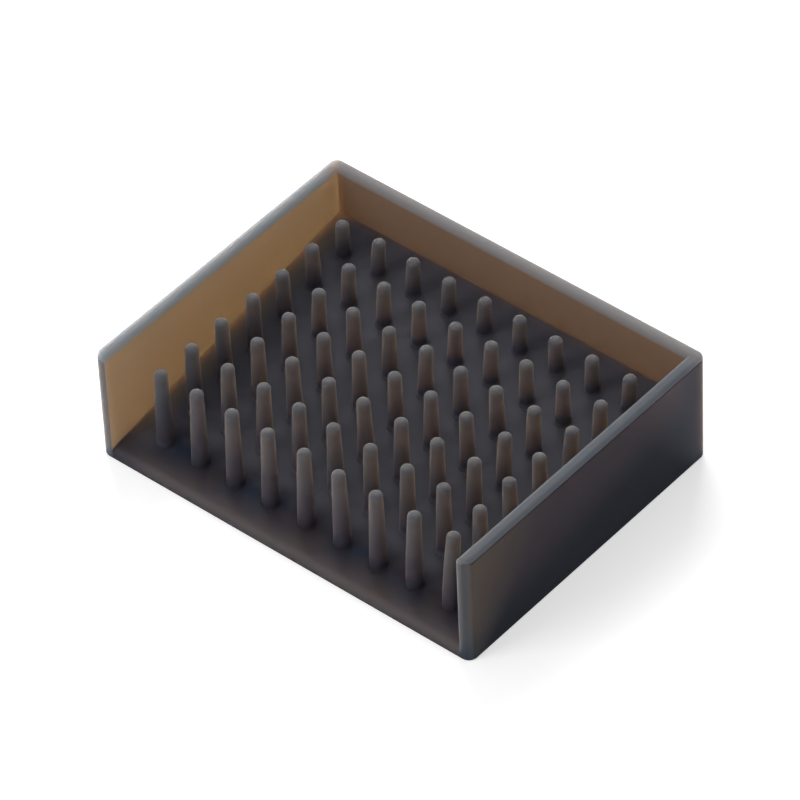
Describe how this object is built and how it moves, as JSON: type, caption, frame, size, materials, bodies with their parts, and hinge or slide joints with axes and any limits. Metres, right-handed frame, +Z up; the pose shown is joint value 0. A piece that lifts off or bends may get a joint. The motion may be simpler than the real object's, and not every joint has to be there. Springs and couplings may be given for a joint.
{
  "type": "soap tray",
  "caption": "Open-fronted silicone soap tray: a U-shaped wall round a sloping floor with a bed of level-topped pins, so soap dries on the tips and water drains over the lip.",
  "frame": {"origin": "middle of the footprint, on the surface the tray stands on", "axes": "+Z up, the open front and its lip face -Y, +X to the right seen from the front"},
  "size_m": [0.1216, 0.094, 0.0345],
  "materials": {
    "silicone": "satin, slightly translucent smoke grey"
  },
  "bodies": {
    "root": {"left_wall": "silicone", "right_wall": "silicone", "back_wall": "silicone", "drain_floor": "silicone"}
  },
  "joints": []
}
